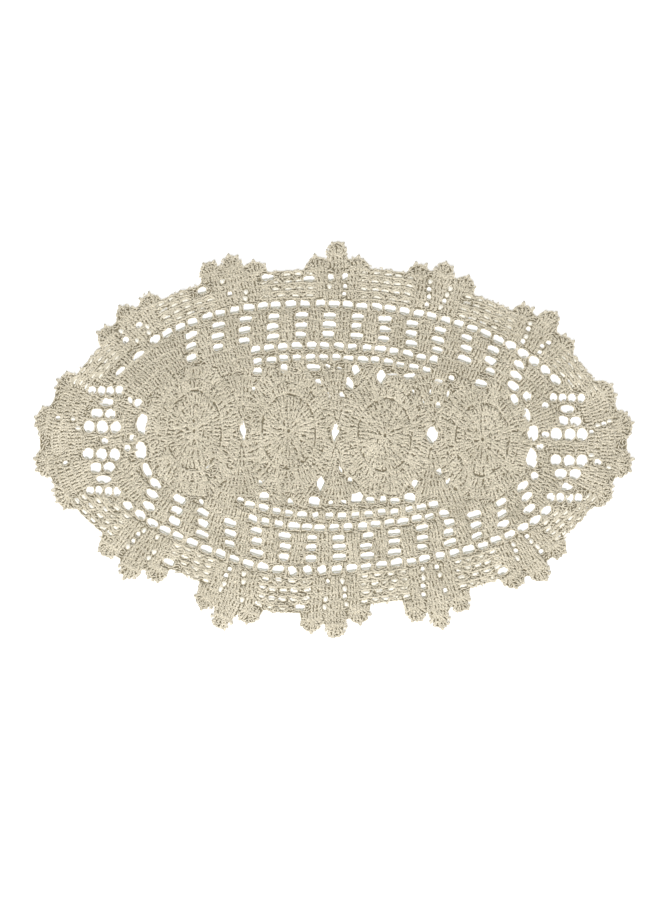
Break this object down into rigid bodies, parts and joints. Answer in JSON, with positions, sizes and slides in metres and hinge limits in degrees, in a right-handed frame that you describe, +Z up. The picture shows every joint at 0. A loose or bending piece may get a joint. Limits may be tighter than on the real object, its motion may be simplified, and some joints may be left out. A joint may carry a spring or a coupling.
{
  "type": "lace doily",
  "caption": "Flat oval crochet lace doily with a row of oval medallions, open ladder and net rounds, and a scalloped petal edge.",
  "frame": {"origin": "middle of the doily's bounding box, on the face that rests on the table", "axes": "+X along the doily's length towards the picture's right, +Y towards the picture's top, +Z up out of the face that shows"},
  "size_m": [0.455, 0.302, 0.0024],
  "materials": {
    "cotton": "matt ecru mercerised cotton yarn, crocheted"
  },
  "bodies": {
    "root": {"doily": "cotton"}
  },
  "joints": []
}
